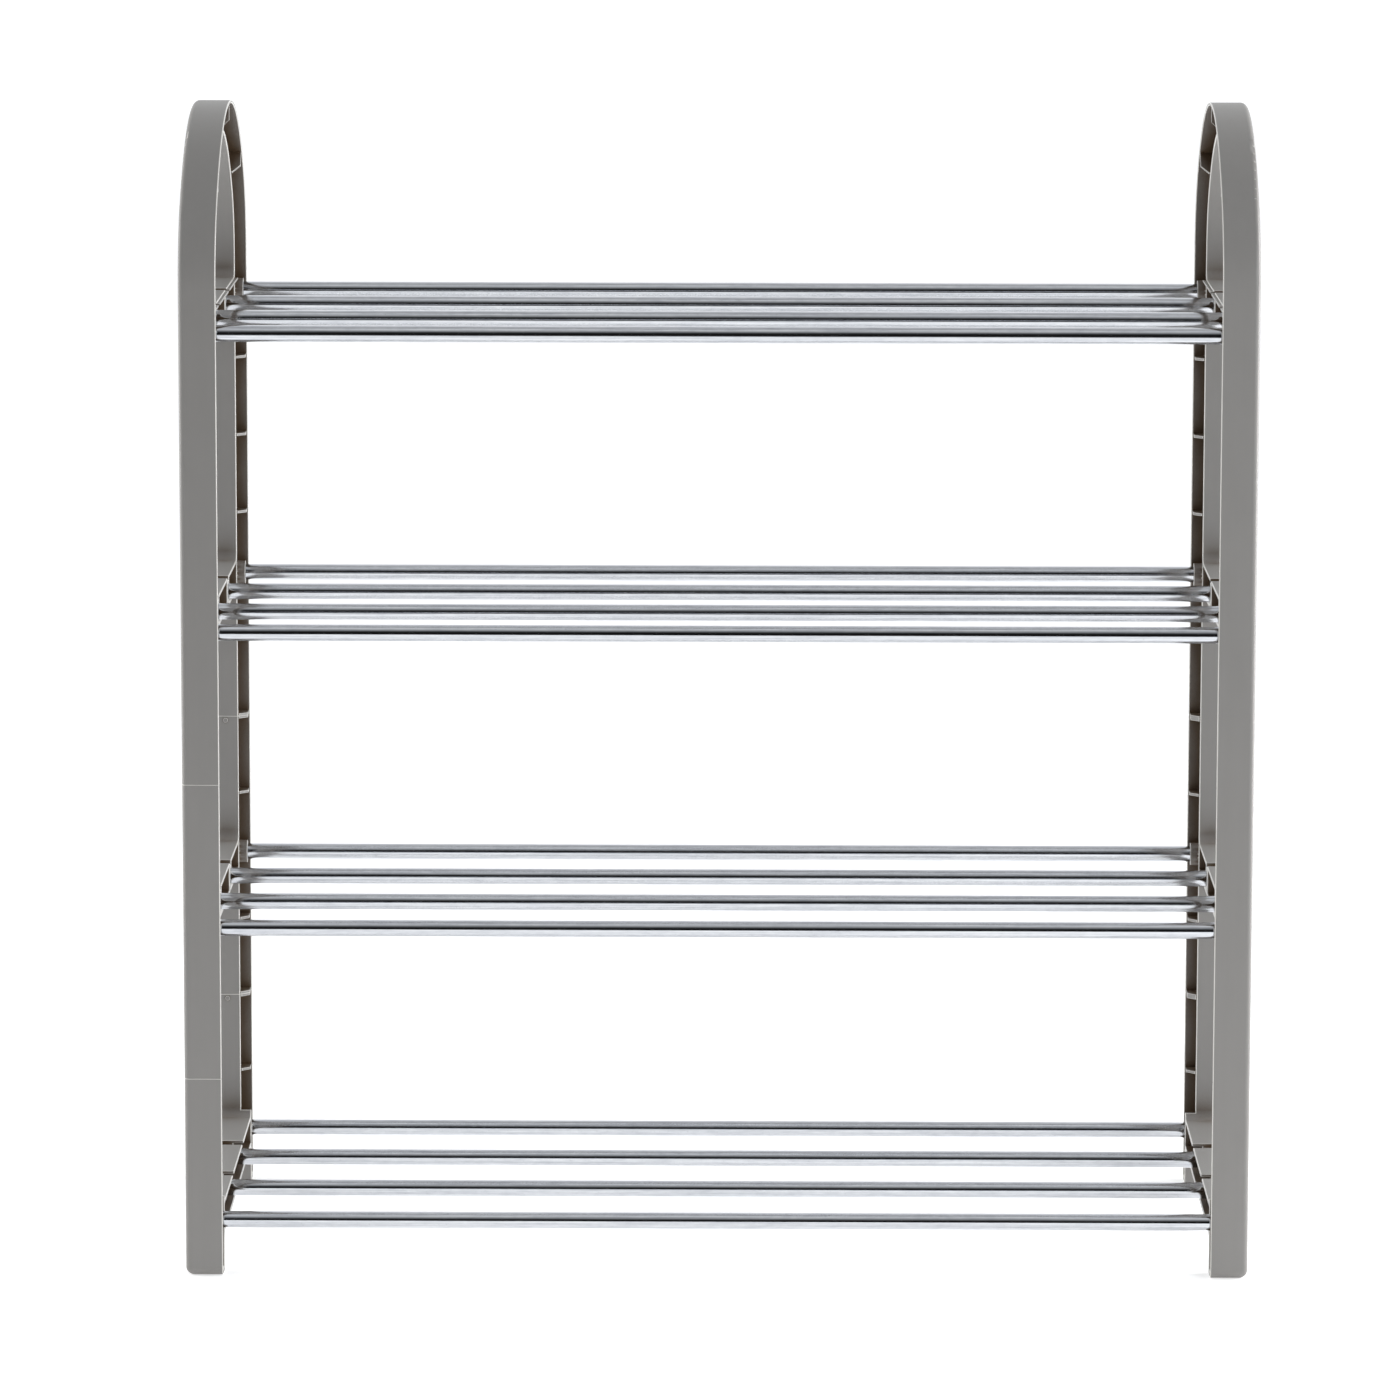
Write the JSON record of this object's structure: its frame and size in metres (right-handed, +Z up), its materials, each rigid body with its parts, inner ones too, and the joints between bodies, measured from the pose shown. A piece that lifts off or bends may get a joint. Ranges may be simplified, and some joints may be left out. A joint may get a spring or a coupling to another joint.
{
  "type": "shoe rack",
  "caption": "Free-standing tiered shoe rack: moulded plastic end frames with half-round arch tops, joined by plain plated-steel tubes that form the shelves.",
  "frame": {"origin": "on the floor, under the middle of the rack", "axes": "+X along the tubes towards the right end frame, +Y from the front to the back, +Z up"},
  "size_m": [0.64, 0.28, 0.698],
  "materials": {
    "frame_plastic": "satin moulded, warm grey",
    "tube_steel": "bright plated, drawn along the tube"
  },
  "bodies": {
    "root": {"left_base_frame": "frame_plastic", "left_middle_frame": "frame_plastic", "left_arch_frame": "frame_plastic", "right_base_frame": "frame_plastic", "right_middle_frame": "frame_plastic", "right_arch_frame": "frame_plastic", "bottom_front_tube": "tube_steel", "bottom_mid_front_tube": "tube_steel", "bottom_mid_rear_tube": "tube_steel", "bottom_rear_tube": "tube_steel", "lower_front_tube": "tube_steel", "lower_mid_front_tube": "tube_steel", "lower_mid_rear_tube": "tube_steel", "lower_rear_tube": "tube_steel", "upper_front_tube": "tube_steel", "upper_mid_front_tube": "tube_steel", "upper_mid_rear_tube": "tube_steel", "upper_rear_tube": "tube_steel", "top_front_tube": "tube_steel", "top_mid_front_tube": "tube_steel", "top_mid_rear_tube": "tube_steel", "top_rear_tube": "tube_steel"}
  },
  "joints": []
}
